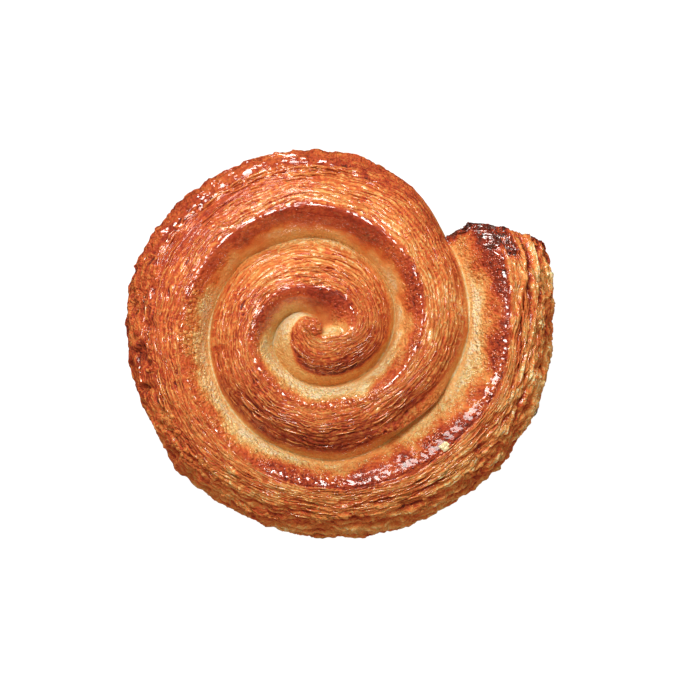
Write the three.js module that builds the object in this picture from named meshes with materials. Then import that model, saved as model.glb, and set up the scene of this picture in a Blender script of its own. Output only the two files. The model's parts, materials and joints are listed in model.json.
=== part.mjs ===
// A spiral of laminated, sugared dough, baked flat on its base.
// The strip of dough is wound counter-clockwise from a tip in the middle to a blunt, free end.
// Lengths are millimetres, angles are degrees of winding counter-clockwise from +X, and +Z is up.
// The origin is the winding's axis on the flat base.
import * as THREE from 'three';

// Winding of the groove at the strip's inner edge
const TURN = 360;
const PITCH = 19.8;
const GROWTH_FROM = -52;
const GROOVE_START = 0;
const STRIP_END = 756;
const FREE_START = STRIP_END - TURN;

// The heart is wound tighter, and one side of the swirl is squeezed in
const HEART_TIGHTNESS = 0.38;
const HEART_FROM = 95;
const HEART_TO = 215;
const SQUEEZE = 2.2;
const SQUEEZE_CENTRE = 535;
const SQUEEZE_SPREAD = 120;

// Crest line: a lobe beside the tip, then a curl, then a line that runs outside the groove
const LOBE_RADIUS = 5.6;
const LOBE_FROM = -170;
const LOBE_TO = -20;
const CURL_WIDTH = 4.8;
const CURL_FROM = -30;
const CURL_TO = 8;
const CREST_OFFSET = 5.6;
const CREST_WIDENING = 4.8;
const CREST_WIDENING_FROM = 180;
const CREST_WIDENING_TO = 720;
const HEART_CREST_OFFSET = 1.7;
const HEART_CREST_FROM = 130;
const HEART_CREST_TO = 190;
const CREST_SQUEEZE = 1.8;

// Heights above the base
const TIP_HEIGHT = 30.5;
const TIP_SHOULDER = 0.5;
const CREST_HEIGHT = 30;
const CREST_FALL = 5;
const CREST_FALL_FROM = 200;
const CREST_FALL_TO = 740;
const GROOVE_HEIGHT = 17.2;
const GROOVE_FALL = 2.2;
const GROOVE_FALL_FROM = 300;
const HEART_GROOVE_RISE = 7.8;
const HEART_GROOVE_FROM = -20;
const HEART_GROOVE_TO = 210;
const RIM_HEIGHT = 20.5;
const WIDEST_HEIGHT = 7;

// Tip: a small ring that opens into the groove, leaning a little off the axis
const TIP_RING_SHARE = 0.55;
const TIP_OPENS_FROM = -75;
const TIP_LEAN = new THREE.Vector2(-1.4, 0.3);
const TIP_LEAN_REACH = 3.5;

// Free outer side
const SIDE_SWELL = 3;
const SIDE_SWELL_ANGLE = 44;
const SIDE_LEAN = 1.6;
const SIDE_FLAT = 2.6;
const SIDE_FLAT_CENTRE = 580;
const SIDE_FLAT_SPREAD = 62;
const RIM_SHARE = 0.72;
const RIM_OPENS_ANGLE = 54;
const SHOULDER_ROUND = 1.8;
const SHOULDER_DROP = 1.3;
const FOOT_INSET = 2;
const FOOT_INSET_ANGLE = 34;

// Blunt free end
const TAIL_SWELL = 1.4;
const TAIL_FROM = 660;
const END_SKEW = 15;
const END_SKEW_POWER = 1.4;
const END_ROUND_ANGLE = 9;
const END_DROP = 6;
const END_BULGE = 1.6;

// Face profiles
const INNER_FACE_FOOT = -0.25;
const INNER_FACE_TOP = 1.05;
const LEAF_ROUND = 2.4;
const LEAF_DROP = 0.7;
const LEAF_EASE = 1.25;

// Relief of leaves, crags and burnt crust
const LEAF_RELIEF = 0.5;
const TAIL_RELIEF = 0.45;
const CRAG_RELIEF = 0.45;
const CRUST_RELIEF = 0.4;
const CRUST_ANGLE = 22;

// Points of one section, and the angle between sections
const SECTION_STEP = 4;
const INNER_ROWS = 5;
const LEAF_ROWS = 13;
const SHOULDER_ROWS = 5;
const FOOT_ROWS = 2;
const SMALLEST_ROW = 0.7;

const CRUST_COLOUR = 0xb8642b;
const CRUST_ROUGHNESS = 0.55;

const { clamp, degToRad, lerp, smoothstep } = THREE.MathUtils;
const rise = (from, to, angle) => smoothstep(angle, from, to);
const bump = (centre, spread, angle) => Math.exp(-(((angle - centre) / spread) ** 2));
const wave = (cycles, angle, phase) => Math.sin(degToRad(angle * cycles) + phase);

// The strip rounds over at its free end
function endDrop(angle) {
  const along = clamp((angle - STRIP_END + END_ROUND_ANGLE) / END_ROUND_ANGLE, 0, 1);
  return END_DROP * (1 - Math.sqrt(1 - along * along));
}

function grooveRadius(angle) {
  const growth = (PITCH * (angle - GROWTH_FROM)) / TURN;
  const heart = lerp(HEART_TIGHTNESS, 1, rise(HEART_FROM, HEART_TO, angle));
  return growth * heart - SQUEEZE * bump(SQUEEZE_CENTRE, SQUEEZE_SPREAD, angle);
}

function grooveHeight(angle) {
  const heartRise = HEART_GROOVE_RISE * (1 - rise(HEART_GROOVE_FROM, HEART_GROOVE_TO, angle));
  const fall = GROOVE_FALL * rise(GROOVE_FALL_FROM, STRIP_END, angle);
  return GROOVE_HEIGHT + heartRise - fall - endDrop(angle) / 2;
}

// Inner edge of a section: the ring round the tip first, then the groove
const tipOpening = (angle) => rise(TIP_OPENS_FROM, GROOVE_START, angle);

function innerEdge(angle) {
  if (angle >= GROOVE_START) {
    return { radius: grooveRadius(angle), height: grooveHeight(angle) };
  }
  const radius = grooveRadius(GROOVE_START) * lerp(TIP_RING_SHARE, 1, tipOpening(angle));
  const height = lerp(TIP_HEIGHT - TIP_SHOULDER, grooveHeight(GROOVE_START), tipOpening(angle));
  return { radius, height };
}

function crestRadius(angle) {
  if (angle < HEART_FROM) {
    const lobe = LOBE_RADIUS * rise(LOBE_FROM, LOBE_TO, angle);
    const curl = CURL_WIDTH * rise(CURL_FROM, CURL_TO, angle);
    return Math.max(innerEdge(angle).radius, lobe + curl);
  }
  const wound = Math.max(0, angle - CREST_WIDENING_FROM) / (CREST_WIDENING_TO - CREST_WIDENING_FROM);
  const heart = HEART_CREST_OFFSET * (1 - rise(HEART_CREST_FROM, HEART_CREST_TO, angle));
  const squeeze = CREST_SQUEEZE * bump(SQUEEZE_CENTRE, SQUEEZE_SPREAD, angle);
  return grooveRadius(angle) + CREST_OFFSET + CREST_WIDENING * wound + heart - squeeze;
}

const crestHeight = (angle) =>
  CREST_HEIGHT - CREST_FALL * rise(CREST_FALL_FROM, CREST_FALL_TO, angle) - endDrop(angle);

// Widest radius of the free outer turn
function outlineRadius(angle) {
  const growth = (PITCH * (angle + TURN - GROWTH_FROM)) / TURN;
  const free = rise(FREE_START, FREE_START + SIDE_SWELL_ANGLE, angle);
  const lean = SIDE_LEAN * Math.sin(degToRad(angle));
  const flat = SIDE_FLAT * bump(SIDE_FLAT_CENTRE, SIDE_FLAT_SPREAD, angle);
  const tail = TAIL_SWELL * rise(TAIL_FROM, STRIP_END, angle);
  return growth + free * (SIDE_SWELL + lean - flat) + tail;
}

// Outer limit of the leaf face: the next groove, or the rim of the free side
function leafEdge(angle) {
  if (angle <= FREE_START) {
    return { radius: grooveRadius(angle + TURN), height: grooveHeight(angle + TURN) };
  }
  const open = rise(FREE_START, FREE_START + RIM_OPENS_ANGLE, angle);
  const radius = lerp(crestRadius(angle), outlineRadius(angle), lerp(1, RIM_SHARE, open));
  const height = lerp(grooveHeight(STRIP_END), RIM_HEIGHT - endDrop(angle), open);
  return { radius, height };
}

const positions = [];
const triangles = [];

// A point of a section; towards the free end the outer part of a section lags behind its inner part
function addPoint(angle, radius, height) {
  const inner = innerEdge(angle).radius;
  const across = clamp((radius - inner) / (outlineRadius(angle) - inner), 0, 1);
  const lag = END_SKEW * rise(TAIL_FROM, STRIP_END, angle) * across ** END_SKEW_POWER;
  const turned = degToRad(angle - lag);
  const lean = bump(0, TIP_LEAN_REACH, radius);
  const x = radius * Math.cos(turned) + TIP_LEAN.x * lean;
  const y = radius * Math.sin(turned) + TIP_LEAN.y * lean;
  positions.push(x, y, height);
  return positions.length / 3 - 1;
}

function addTriangle(a, b, c) {
  if (a !== b && b !== c && c !== a) {
    triangles.push(a, b, c);
  }
}

// Joins two neighbouring rows of points, which may differ in number, by triangles
function zip(left, right) {
  let i = 0;
  let j = 0;
  while (i < left.length - 1 || j < right.length - 1) {
    const nextLeft = (i + 1) / Math.max(1, left.length - 1);
    const nextRight = (j + 1) / Math.max(1, right.length - 1);
    const leftMoves = i < left.length - 1 && (j === right.length - 1 || nextLeft <= nextRight);
    if (leftMoves) {
      addTriangle(left[i], left[i + 1], right[j]);
      i += 1;
    } else {
      addTriangle(left[i], right[j + 1], right[j]);
      j += 1;
    }
  }
}

// Leaves of dough stand up and dip in turn, in uneven waves along the strip and coarser at its end
function leafRelief(angle, row) {
  const side = row % 2 === 0 ? 1 : -1;
  const size = LEAF_RELIEF + TAIL_RELIEF * rise(TAIL_FROM, STRIP_END, angle);
  return side * size * (0.55 + 0.3 * wave(5.3, angle, 2.1 * row) + 0.25 * wave(13.7, angle, -1.3 * row));
}

function cragRelief(angle, row) {
  const free = rise(FREE_START, FREE_START + SIDE_SWELL_ANGLE, angle);
  return CRAG_RELIEF * free * (0.6 * wave(9.1, angle, 1.9 * row) + 0.4 * wave(23.3, angle, 3.7 * row));
}

function crustRelief(angle, row) {
  const burnt = rise(STRIP_END - CRUST_ANGLE, STRIP_END - END_ROUND_ANGLE, angle);
  return CRUST_RELIEF * burnt * wave(45, angle, 2.3 * row);
}

const rowCount = (span, most) => clamp(Math.round(span / SMALLEST_ROW), 0, most);

// Smooth face from the groove up to the crest
function innerFace(angle, firstPoint) {
  const start = innerEdge(angle);
  const endRadius = crestRadius(angle);
  const rows = rowCount(endRadius - start.radius, INNER_ROWS);
  const points = [firstPoint];
  for (let row = 1; row <= rows; row += 1) {
    const across = row / rows;
    const up = smoothstep(across, INNER_FACE_FOOT, INNER_FACE_TOP);
    const height = lerp(start.height, crestHeight(angle), up) + crustRelief(angle, row);
    points.push(addPoint(angle, lerp(start.radius, endRadius, across), height));
  }
  return points;
}

// Laminated face from the crest down to the leaf edge
function leafFace(angle, firstPoint, lastPoint) {
  const startRadius = crestRadius(angle);
  const end = leafEdge(angle);
  const rows = Math.max(1, rowCount(end.radius - startRadius, LEAF_ROWS));
  const points = [firstPoint];
  for (let row = 1; row < rows; row += 1) {
    const across = 1 - (1 - row / rows) ** LEAF_EASE;
    const up = (1 - across ** LEAF_ROUND) ** LEAF_DROP;
    const height = lerp(end.height, crestHeight(angle), up) + leafRelief(angle, row);
    points.push(addPoint(angle, lerp(startRadius, end.radius, across), height));
  }
  points.push(lastPoint);
  return points;
}

// Free side from the rim over the widest line to the foot on the base
function freeSide(angle, rimPoint) {
  const rim = leafEdge(angle);
  const widest = outlineRadius(angle);
  const inset = FOOT_INSET * rise(FREE_START, FREE_START + FOOT_INSET_ANGLE, angle);
  const points = [rimPoint];
  for (let row = 1; row <= SHOULDER_ROWS; row += 1) {
    const down = row / SHOULDER_ROWS;
    const out = 1 - (1 - down) ** SHOULDER_ROUND;
    const radius = lerp(rim.radius, widest, out) + cragRelief(angle, row);
    points.push(addPoint(angle, radius, lerp(rim.height, WIDEST_HEIGHT, down ** SHOULDER_DROP)));
  }
  for (let row = 1; row <= FOOT_ROWS; row += 1) {
    const down = row / FOOT_ROWS;
    const radius = widest - inset * down * down + cragRelief(angle, SHOULDER_ROWS + row);
    points.push(addPoint(angle, radius, WIDEST_HEIGHT * (1 - down)));
  }
  return points;
}

// Groove points, shared by the strip's inner edge and by the leaf face one turn further in
const groovePoints = new Map();
for (let angle = GROOVE_START; angle <= STRIP_END; angle += SECTION_STEP) {
  groovePoints.set(angle, addPoint(angle, grooveRadius(angle), grooveHeight(angle)));
}

function outerPoint(angle) {
  if (angle <= FREE_START) {
    return groovePoints.get(angle + TURN);
  }
  const rim = leafEdge(angle);
  return addPoint(angle, rim.radius, rim.height);
}

// One section of the strip, from the groove over the crest to the outer side
function stripSection(angle) {
  const inner = innerFace(angle, groovePoints.get(angle));
  const leaf = leafFace(angle, inner.at(-1), outerPoint(angle));
  const side = angle < FREE_START ? [] : freeSide(angle, leaf.at(-1));
  return { inner, leaf, side };
}

// One section of the tip, from the axis outwards, in the turn before the groove opens
const tip = addPoint(GROOVE_START, 0, TIP_HEIGHT);

function tipSection(angle) {
  if (angle === GROOVE_START - TURN) {
    return { core: [tip], inner: [tip], leaf: [tip, outerPoint(angle)] };
  }
  const edge = innerEdge(angle);
  const ringPoint = addPoint(angle, edge.radius, edge.height);
  const inner = innerFace(angle, ringPoint);
  return { core: [tip, ringPoint], inner, leaf: leafFace(angle, inner.at(-1), outerPoint(angle)) };
}

// The tip's sections end at the strip's first one
const firstSection = stripSection(GROOVE_START);
let section = tipSection(GROOVE_START - TURN);
for (let angle = GROOVE_START - TURN + SECTION_STEP; angle <= GROOVE_START; angle += SECTION_STEP) {
  const closing = { core: [tip, groovePoints.get(GROOVE_START)], ...firstSection };
  const next = angle < GROOVE_START ? tipSection(angle) : closing;
  zip(section.core, next.core);
  zip(section.inner, next.inner);
  zip(section.leaf, next.leaf);
  section = next;
}

// The wound strip, with the free side below its outermost turn
const footLoop = [];
let notchSide = [];
for (let angle = GROOVE_START + SECTION_STEP; angle <= STRIP_END; angle += SECTION_STEP) {
  const next = stripSection(angle);
  zip(section.inner, next.inner);
  zip(section.leaf, next.leaf);
  if (angle === FREE_START) {
    notchSide = next.side;
  }
  if (angle > FREE_START) {
    zip(section.side, next.side);
  }
  footLoop.push(...next.side.slice(-1));
  section = next;
}

// The blunt end closes the strip from its last section down to the base
const pointAt = (index) => new THREE.Vector3().fromArray(positions, index * 3);
const upwards = new THREE.Vector3(0, 0, 1);
const endDirection = new THREE.Vector3(0, 1, 0).applyAxisAngle(upwards, degToRad(STRIP_END - END_SKEW));
const endTop = [...section.inner, ...section.leaf.slice(1)];
let endRow = endTop;
for (let row = 1; row < notchSide.length; row += 1) {
  const near = pointAt(notchSide[row]);
  const far = pointAt(section.side[row]);
  const down = row / (notchSide.length - 1);
  const nextRow = [notchSide[row]];
  for (let column = 1; column < endTop.length - 1; column += 1) {
    const across = column / (endTop.length - 1);
    const bulge = END_BULGE * Math.sin(Math.PI * across) * (1 - down * down);
    const point = near.clone().lerp(far, across).addScaledVector(endDirection, bulge);
    point.z = lerp(pointAt(endTop[column]).z, 0, down);
    positions.push(point.x, point.y, point.z);
    nextRow.push(positions.length / 3 - 1);
  }
  nextRow.push(section.side[row]);
  zip(endRow, nextRow);
  endRow = nextRow;
}

// Flat base, a fan round the axis
footLoop.push(...endRow.slice(1, -1).reverse());
positions.push(0, 0, 0);
const baseCentre = positions.length / 3 - 1;
footLoop.forEach((foot, index) => {
  addTriangle(baseCentre, footLoop[(index + 1) % footLoop.length], foot);
});

const geometry = new THREE.BufferGeometry();
geometry.setAttribute('position', new THREE.Float32BufferAttribute(positions, 3));
geometry.setIndex(triangles);
geometry.computeVertexNormals();

const crust = new THREE.MeshStandardMaterial({
  color: CRUST_COLOUR,
  roughness: CRUST_ROUGHNESS,
  metalness: 0,
});
const pastry = new THREE.Mesh(geometry, crust);
pastry.name = 'laminated_swirl';

const kouignAmann = new THREE.Group();
kouignAmann.add(pastry);

export default kouignAmann;
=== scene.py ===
# %% [markdown]
# # A kouign amann, wound like a snail
# The real thing is one strip of laminated dough, with butter and sugar folded in, wound flat into
# a spiral and baked until the sugar caramelises. It has four kinds of surface: a pale groove that
# the oven hardly reaches, a smooth sugared face that rises from it, a crest, and a flaky outer
# face where the cut leaves of dough stand open. This lesson builds them as one closed mesh in
# numpy, because leaves a millimetre thick have to be real shapes, and finishes them with one
# procedural crust that reads from the mesh itself how far each point was baked, together with
# the painted shade and painted light that are kept in the same numbers.

# %% Load the imported model
import json
import math

import bpy
import numpy as np
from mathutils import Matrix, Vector

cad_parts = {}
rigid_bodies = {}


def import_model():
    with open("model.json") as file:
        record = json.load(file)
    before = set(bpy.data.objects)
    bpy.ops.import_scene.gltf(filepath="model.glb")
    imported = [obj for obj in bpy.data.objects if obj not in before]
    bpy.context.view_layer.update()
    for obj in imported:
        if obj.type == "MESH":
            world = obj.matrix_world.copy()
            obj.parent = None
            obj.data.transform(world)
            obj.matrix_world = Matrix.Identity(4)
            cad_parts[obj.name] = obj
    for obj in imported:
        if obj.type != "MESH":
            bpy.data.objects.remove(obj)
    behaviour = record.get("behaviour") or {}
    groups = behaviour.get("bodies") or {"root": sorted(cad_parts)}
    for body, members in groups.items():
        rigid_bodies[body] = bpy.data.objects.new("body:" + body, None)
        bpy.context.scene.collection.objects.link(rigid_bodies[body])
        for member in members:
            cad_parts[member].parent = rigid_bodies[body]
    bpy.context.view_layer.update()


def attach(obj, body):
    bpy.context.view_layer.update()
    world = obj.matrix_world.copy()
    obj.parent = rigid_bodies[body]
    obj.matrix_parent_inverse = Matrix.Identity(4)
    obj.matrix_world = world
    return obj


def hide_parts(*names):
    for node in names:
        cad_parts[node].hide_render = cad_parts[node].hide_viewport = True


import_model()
NODE = "laminated_swirl"
MM = 0.001

# %% [markdown]
# ## Camera
# The photograph looks almost straight down through a long lens. A long lens could be faked with
# an orthographic camera, but a real distance keeps the slight widening of the raised tip. The
# camera aims beside the winding's axis, so that the axis falls on its own pixel of the picture.

# %% Camera
IMAGE_PIXELS = 680
AXIS_PIXEL = (318, 328)
AXIS_LEVEL = 17.0
MM_PER_PIXEL = 0.28
VIEW_ELEVATION = math.radians(82)
VIEW_DISTANCE = 900.0
SENSOR_WIDTH = 36.0

off_right = (IMAGE_PIXELS / 2 - AXIS_PIXEL[0]) * MM_PER_PIXEL
off_down = (IMAGE_PIXELS / 2 - AXIS_PIXEL[1]) * MM_PER_PIXEL / math.sin(VIEW_ELEVATION)
aim = Vector((off_right, -off_down, AXIS_LEVEL)) * MM
back = Vector((0, -math.cos(VIEW_ELEVATION), math.sin(VIEW_ELEVATION)))

camera = bpy.data.objects.new("camera", bpy.data.cameras.new("camera"))
bpy.context.collection.objects.link(camera)
camera.data.sensor_width = SENSOR_WIDTH
camera.data.lens = SENSOR_WIDTH * VIEW_DISTANCE / (IMAGE_PIXELS * MM_PER_PIXEL)
camera.location = aim + back * VIEW_DISTANCE * MM
camera.rotation_euler = (-back).to_track_quat("-Z", "Y").to_euler()
bpy.context.scene.camera = camera
print("lens, mm:", round(camera.data.lens))

# %% [markdown]
# ## The winding
# Everything follows the groove, a spiral that moves out by one pitch a turn. Angles are degrees
# of winding and run on past 360, so a larger angle is further along the strip. The same few
# sizes drive the solid that this mesh stands for, so both keep much the same form. A spiral curve
# with a bevel would be quicker, but its section could not change from tip to tail.

# %% Sizes of the winding, in millimetres and degrees
TURN = 360.0
PITCH = 19.8
GROWTH_FROM = -52.0
STRIP_END = 756.0
FREE_START = STRIP_END - TURN
TIP_HEIGHT = 30.5
CREST_HEIGHT = 30.0
GROOVE_HEIGHT = 17.2
WIDEST_HEIGHT = 7.0
RIM_SHARE = 0.72
END_ROUND_ANGLE = 12.0
END_DROP = 6.0
TAIL_FROM = 660.0
print("turns of the strip:", round(STRIP_END / TURN, 2))


# %% Soft steps, bumps and blends
def rise(start, end, x):
    """0 up to start, 1 from end on, and a soft step between."""
    t = np.clip((x - start) / (end - start), 0, 1)
    return t * t * (3 - 2 * t)


def bump(centre, spread, x):
    """1 at the centre, falling to about a third one spread away."""
    return np.exp(-(((x - centre) / spread) ** 2))


def blend(a, b, t):
    return a + (b - a) * t


print("a third of the way up a soft step:", rise(0, 3, 1).round(2))

# %% [markdown]
# A hand-wound strip is not even: it is pressed in at the left and at the front, the groove
# wanders by up to two millimetres, and it is shallower along the front. Each of these is a bump or
# a soft step along the strip: a size in millimetres times a place and a spread in degrees.

# %% Where the groove and the crest run
def side_squeeze(a):
    return bump(535, 120, a)


def front_squeeze(a):
    return bump(315, 72, a)


def groove_drift(a):
    return 0.5 * bump(600, 22, a) + bump(638, 16, a) - 2.0 * bump(680, 24, a)


def end_drop(a):
    along = np.clip((a - STRIP_END + END_ROUND_ANGLE) / END_ROUND_ANGLE, 0, 1)
    return END_DROP * along**1.3


def groove_radius(a):
    growth = PITCH * (a - GROWTH_FROM) / TURN
    radius = growth * blend(0.38, 1, rise(95, 215, a)) - 2.2 * side_squeeze(a) - 1.6 * front_squeeze(a)
    return radius - 1.3 * bump(445, 55, a) + groove_drift(a)


def groove_height(a):
    heart = 7.8 * (1 - rise(-10, 250, a)) + 1.8 * bump(135, 60, a)
    shallow = 2.2 * bump(270, 70, a) + 3.2 * bump(640, 90, a) + bump(684, 24, a)
    return GROOVE_HEIGHT + heart + shallow - 2.2 * rise(300, STRIP_END, a) - end_drop(a) / 2


def inner_edge(a):
    """Radius and height where a section starts: the groove, or a closing ring before it."""
    opening = rise(-95, -20, a)
    start = np.zeros_like(a)
    ring = groove_radius(start) * blend(0.55, 1, opening)
    ring_height = blend(TIP_HEIGHT - 0.5, groove_height(start), opening)
    before = a < 0
    return np.where(before, ring, groove_radius(a)), np.where(before, ring_height, groove_height(a))


def crest_radius(a):
    curl = 5.6 * rise(-170, -30, a) + 4.8 * rise(-50, -8, a)
    curl = np.maximum(inner_edge(a)[0], curl)
    offset = 5.6 + 4.8 * np.maximum(0, a - 180) / 540 + 1.7 * (1 - rise(130, 190, a))
    crest = np.where(a < 95, curl, groove_radius(a) + offset - 1.8 * side_squeeze(a) + front_squeeze(a))
    crest = crest - 1.4 * bump(80, 50, a) + 0.9 * bump(452, 18, a)
    return crest + 1.2 * bump(703, 14, a) + 0.9 * rise(730, 752, a) - groove_drift(a)


def crest_height(a):
    return CREST_HEIGHT - 5 * rise(200, 740, a) - end_drop(a)


def outline_radius(a):
    growth = PITCH * (a + TURN - GROWTH_FROM) / TURN
    swell = 3 + 1.6 * np.sin(np.radians(a)) - 2.6 * bump(580, 62, a)
    dents = 1.0 * bump(513, 20, a) + 0.8 * bump(586, 9, a) + 0.5 * bump(662, 16, a) - 1.0 * bump(721, 14, a)
    free_swell = (swell + dents) * rise(FREE_START - 4, FREE_START + 26, a)
    return growth + free_swell + 1.4 * rise(TAIL_FROM, STRIP_END, a)


turn_starts = np.array((0.0, TURN, 2 * TURN))
print("groove radius at each turn:", groove_radius(turn_starts).round(1))

# %% [markdown]
# ## One section of the strip
# A section runs from the groove up the sugared face to the crest, and down the flaky face to the
# next groove. On the last turn there is no next groove: the face rounds over a rim to the free
# side and the foot. The functions below give radius and height for any angle and any share of
# the way across, so that every grid, coarse or fine, lies on the same form. Near the tail the
# outer part of each section lags behind, because the strip was cut off at a slant.

# %% Placing a section
RIM_ANGLE = math.asin(RIM_SHARE)
SIDE_BREAK = 0.72
LEAN = np.array((-1.3, -1.3))
LEAN_REACH = 4.5
TAIL_LAG = ((0, 0), (0.2, 0.2), (0.32, 1.2), (0.45, 4.4), (0.7, 9.8), (0.85, 13.2), (1, 14.4))


def along_strip(a, marks):
    """A value that is read off at a few marks along the strip, and goes evenly between them."""
    places, values = zip(*marks)
    return np.interp(a, places, values)


def freedom(a):
    """0 where the next turn covers the strip, 1 where its outer side is free."""
    return rise(FREE_START, FREE_START + 54, a)


def place(a, radius, height):
    inner = inner_edge(a)[0]
    across = np.clip((radius - inner) / (outline_radius(a) - inner), 0, 1)
    lag = along_strip(across, TAIL_LAG)
    turned = np.radians(a - lag * rise(TAIL_FROM, STRIP_END, a))
    lean = bump(0, LEAN_REACH, radius)
    x = radius * np.cos(turned) + LEAN[0] * lean
    y = radius * np.sin(turned) + LEAN[1] * lean
    return np.stack(np.broadcast_arrays(x, y, height), axis=-1)


tail_mark = np.array(2 * TURN)
print("crest and outline at the tail:", crest_radius(tail_mark).round(1), outline_radius(tail_mark).round(1))

# %% Section profiles
GROOVE_ROUND = 1.6
ROUNDED = 0.8
FOOT_TUCK = 2.0


def sugared_face(a, across):
    radius, height = inner_edge(a)
    start = rise(-0.1, 1.05, 0.0)
    up = blend((rise(-0.1, 1.05, across) - start) / (1 - start), np.sin(across * math.pi / 2), ROUNDED)
    return place(a, blend(radius, crest_radius(a), across), blend(height, crest_height(a), up))


def free_arc(a, angle):
    crest = crest_radius(a)
    radius = crest + (outline_radius(a) - crest) * np.sin(angle)
    return radius, WIDEST_HEIGHT + (crest_height(a) - WIDEST_HEIGHT) * np.cos(angle)


def leaf_face(a, across):
    shut = a <= FREE_START
    edge_radius = np.where(shut, groove_radius(a + TURN), outline_radius(a))
    edge_height = groove_height(np.where(shut, a + TURN, STRIP_END))
    radius = blend(crest_radius(a), edge_radius, across)
    full = crest_height(a) - edge_height
    above = full * (1 - np.clip(across, 0, 1) ** 2.4) ** 0.7
    height = edge_height + above**2 / (above + GROOVE_ROUND) * (full + GROOVE_ROUND) / full
    free_radius, free_height = free_arc(a, across * RIM_ANGLE)
    return place(a, blend(radius, free_radius, freedom(a)), blend(height, free_height, freedom(a)))


def free_side(a, down):
    outline = outline_radius(a)
    shoulder = np.clip(down / SIDE_BREAK, 0, 1)
    foot = np.clip((down - SIDE_BREAK) / (1 - SIDE_BREAK), 0, 1)
    radius, height = free_arc(a, blend(RIM_ANGLE, math.pi / 2, shoulder))
    radius = radius - FOOT_TUCK * rise(FREE_START, FREE_START + 34, a) * foot**2
    height = np.where(foot > 0, WIDEST_HEIGHT * (1 - foot), height)
    shut_height = groove_height(np.full_like(a, STRIP_END)) * (1 - down)
    return place(a, blend(outline, radius, freedom(a)), blend(shut_height, height, freedom(a)))


print("rim at the tail, mm:", leaf_face(tail_mark, 1.0).round(1))

# %% [markdown]
# ## Unevenness
# Nothing on a pastry repeats, so every size below wanders. Blender's noise textures only exist in
# shaders, and here the shape itself has to wander, so a smooth and a rough lattice noise are
# written in numpy. They are seeded, so the pastry is the same each time.

# %% Lattice noise from 0 to 1
TABLE_SIZE = 4093
NOISE_TABLE = np.random.default_rng(71).random(TABLE_SIZE)
LATTICE_STEPS = (374761, 668265, 982451)
SEED_STEP = 7919


def noise(seed, *coordinates):
    total = 0.0
    cells = [np.floor(c).astype(np.int64) for c in coordinates]
    shares = [c - cell for c, cell in zip(coordinates, cells)]
    shares = [t * t * (3 - 2 * t) for t in shares]
    for corner in range(2 ** len(coordinates)):
        weight = 1.0
        key = np.asarray(seed, dtype=np.int64) * SEED_STEP
        for axis, (cell, share) in enumerate(zip(cells, shares)):
            step = (corner >> axis) & 1
            weight = weight * (share if step else 1 - share)
            key = key + (cell + step) * LATTICE_STEPS[axis]
        total = total + weight * NOISE_TABLE[key % TABLE_SIZE]
    return total


def rough_noise(seed, *coordinates):
    coarse = noise(seed, *coordinates)
    fine = noise(seed + 1, *(2.1 * c for c in coordinates))
    finer = noise(seed + 2, *(4.3 * c for c in coordinates))
    return (coarse + 0.5 * fine + 0.25 * finer) / 1.75


sample = noise(3, np.linspace(0, 400, 4000))
print("noise mean and spread:", sample.mean().round(2), sample.std().round(2))

# %% [markdown]
# ## Leaves of dough
# Cut across, laminated dough shows its leaves as thin wavy edges that run along the strip, pinch
# together and open again like lenses. Each leaf gets its own width at each place along the strip,
# and the widths are added up to lines. Mesh rows then follow the lines, four rows to a leaf, so
# that even a thin leaf keeps a clean edge. Displacing an even grid instead would saw the edges.

# %% Length along the strip
fine_angles = np.arange(-TURN, STRIP_END + 0.25, 0.25)
shut_reach = groove_radius(np.minimum(fine_angles + TURN, STRIP_END))
reach = np.where(fine_angles <= FREE_START, shut_reach, outline_radius(fine_angles))
middle = (crest_radius(fine_angles) + reach) / 2
steps = np.radians(np.diff(fine_angles)) * (middle[1:] + middle[:-1]) / 2
fine_lengths = np.concatenate(([0.0], np.cumsum(steps)))


def strip_length(a):
    return np.interp(a, fine_angles, fine_lengths)


print("strip length, mm:", round(float(strip_length(STRIP_END) - strip_length(0.0))))

# %% Lines between the leaves
LEAVES = 15
SIDE_LEAVES = 7
ROWS_PER_LEAF = 4
LEAST_LEAF = 0.15
COARSE_FROM, COARSE_FULL = 650.0, 725.0
LEAF_ROWS_END = 0.97
LEAF_ENDS = ((-360, 0.9), (-260, 0.6), (-185, 0.5), (-120, 0.74), (-90, 0.82), (-30, 0.86), (0, 0.9),
             (45, 0.94), (100, 0.97), (180, 0.97), (225, 0.95), (270, 0.88), (300, 0.88), (315, 0.86),
             (335, 0.84), (350, 0.9), (365, 0.96), (450, 0.97))


def leaf_lines(length, leaves, seed):
    line = np.arange(leaves + 1)
    along = length[..., None]
    sway = 2 * noise(seed + line, along / 6.0 + 0.37 * line) - 1
    flutter = 2 * noise(seed + 50 + line, along / 2.0 + 0.71 * line) - 1
    drift = 2 * noise(seed + 90, along / 7.0, 0.28 * line + 0 * along) - 1
    coarse = rise(strip_length(COARSE_FROM), strip_length(COARSE_FULL), along)
    merged = np.where(line % 2, 0.7 * coarse, 0)
    shift = 0.5 * sway + 0.3 * flutter + 0.9 * drift - merged
    shift = np.where((line == 0) | (line == leaves), 0, shift)
    spaced = np.maximum.accumulate(line * (1 - LEAST_LEAF) + shift, axis=-1) + line * LEAST_LEAF
    spaced = np.minimum(spaced, leaves - (leaves - line) * LEAST_LEAF)
    return spaced / leaves


def leaf_foot(a):
    """How far across the flaky face its leaves reach, before the smooth foot of the turn."""
    return along_strip(a, LEAF_ENDS)


def leaf_place(length, share, leaves, seed):
    """Number of the leaf at this share of the face, and the place across that leaf."""
    lines = leaf_lines(length, leaves, seed)
    number = np.clip((share[..., None] >= lines[..., 1:]).sum(axis=-1), 0, leaves - 1)
    low = np.take_along_axis(lines, number[..., None], axis=-1)[..., 0]
    high = np.take_along_axis(lines, number[..., None] + 1, axis=-1)[..., 0]
    return number, np.clip((share - low) / (high - low), 0, 1)


print("leaves on the face and on the side:", LEAVES, SIDE_LEAVES)

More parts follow.
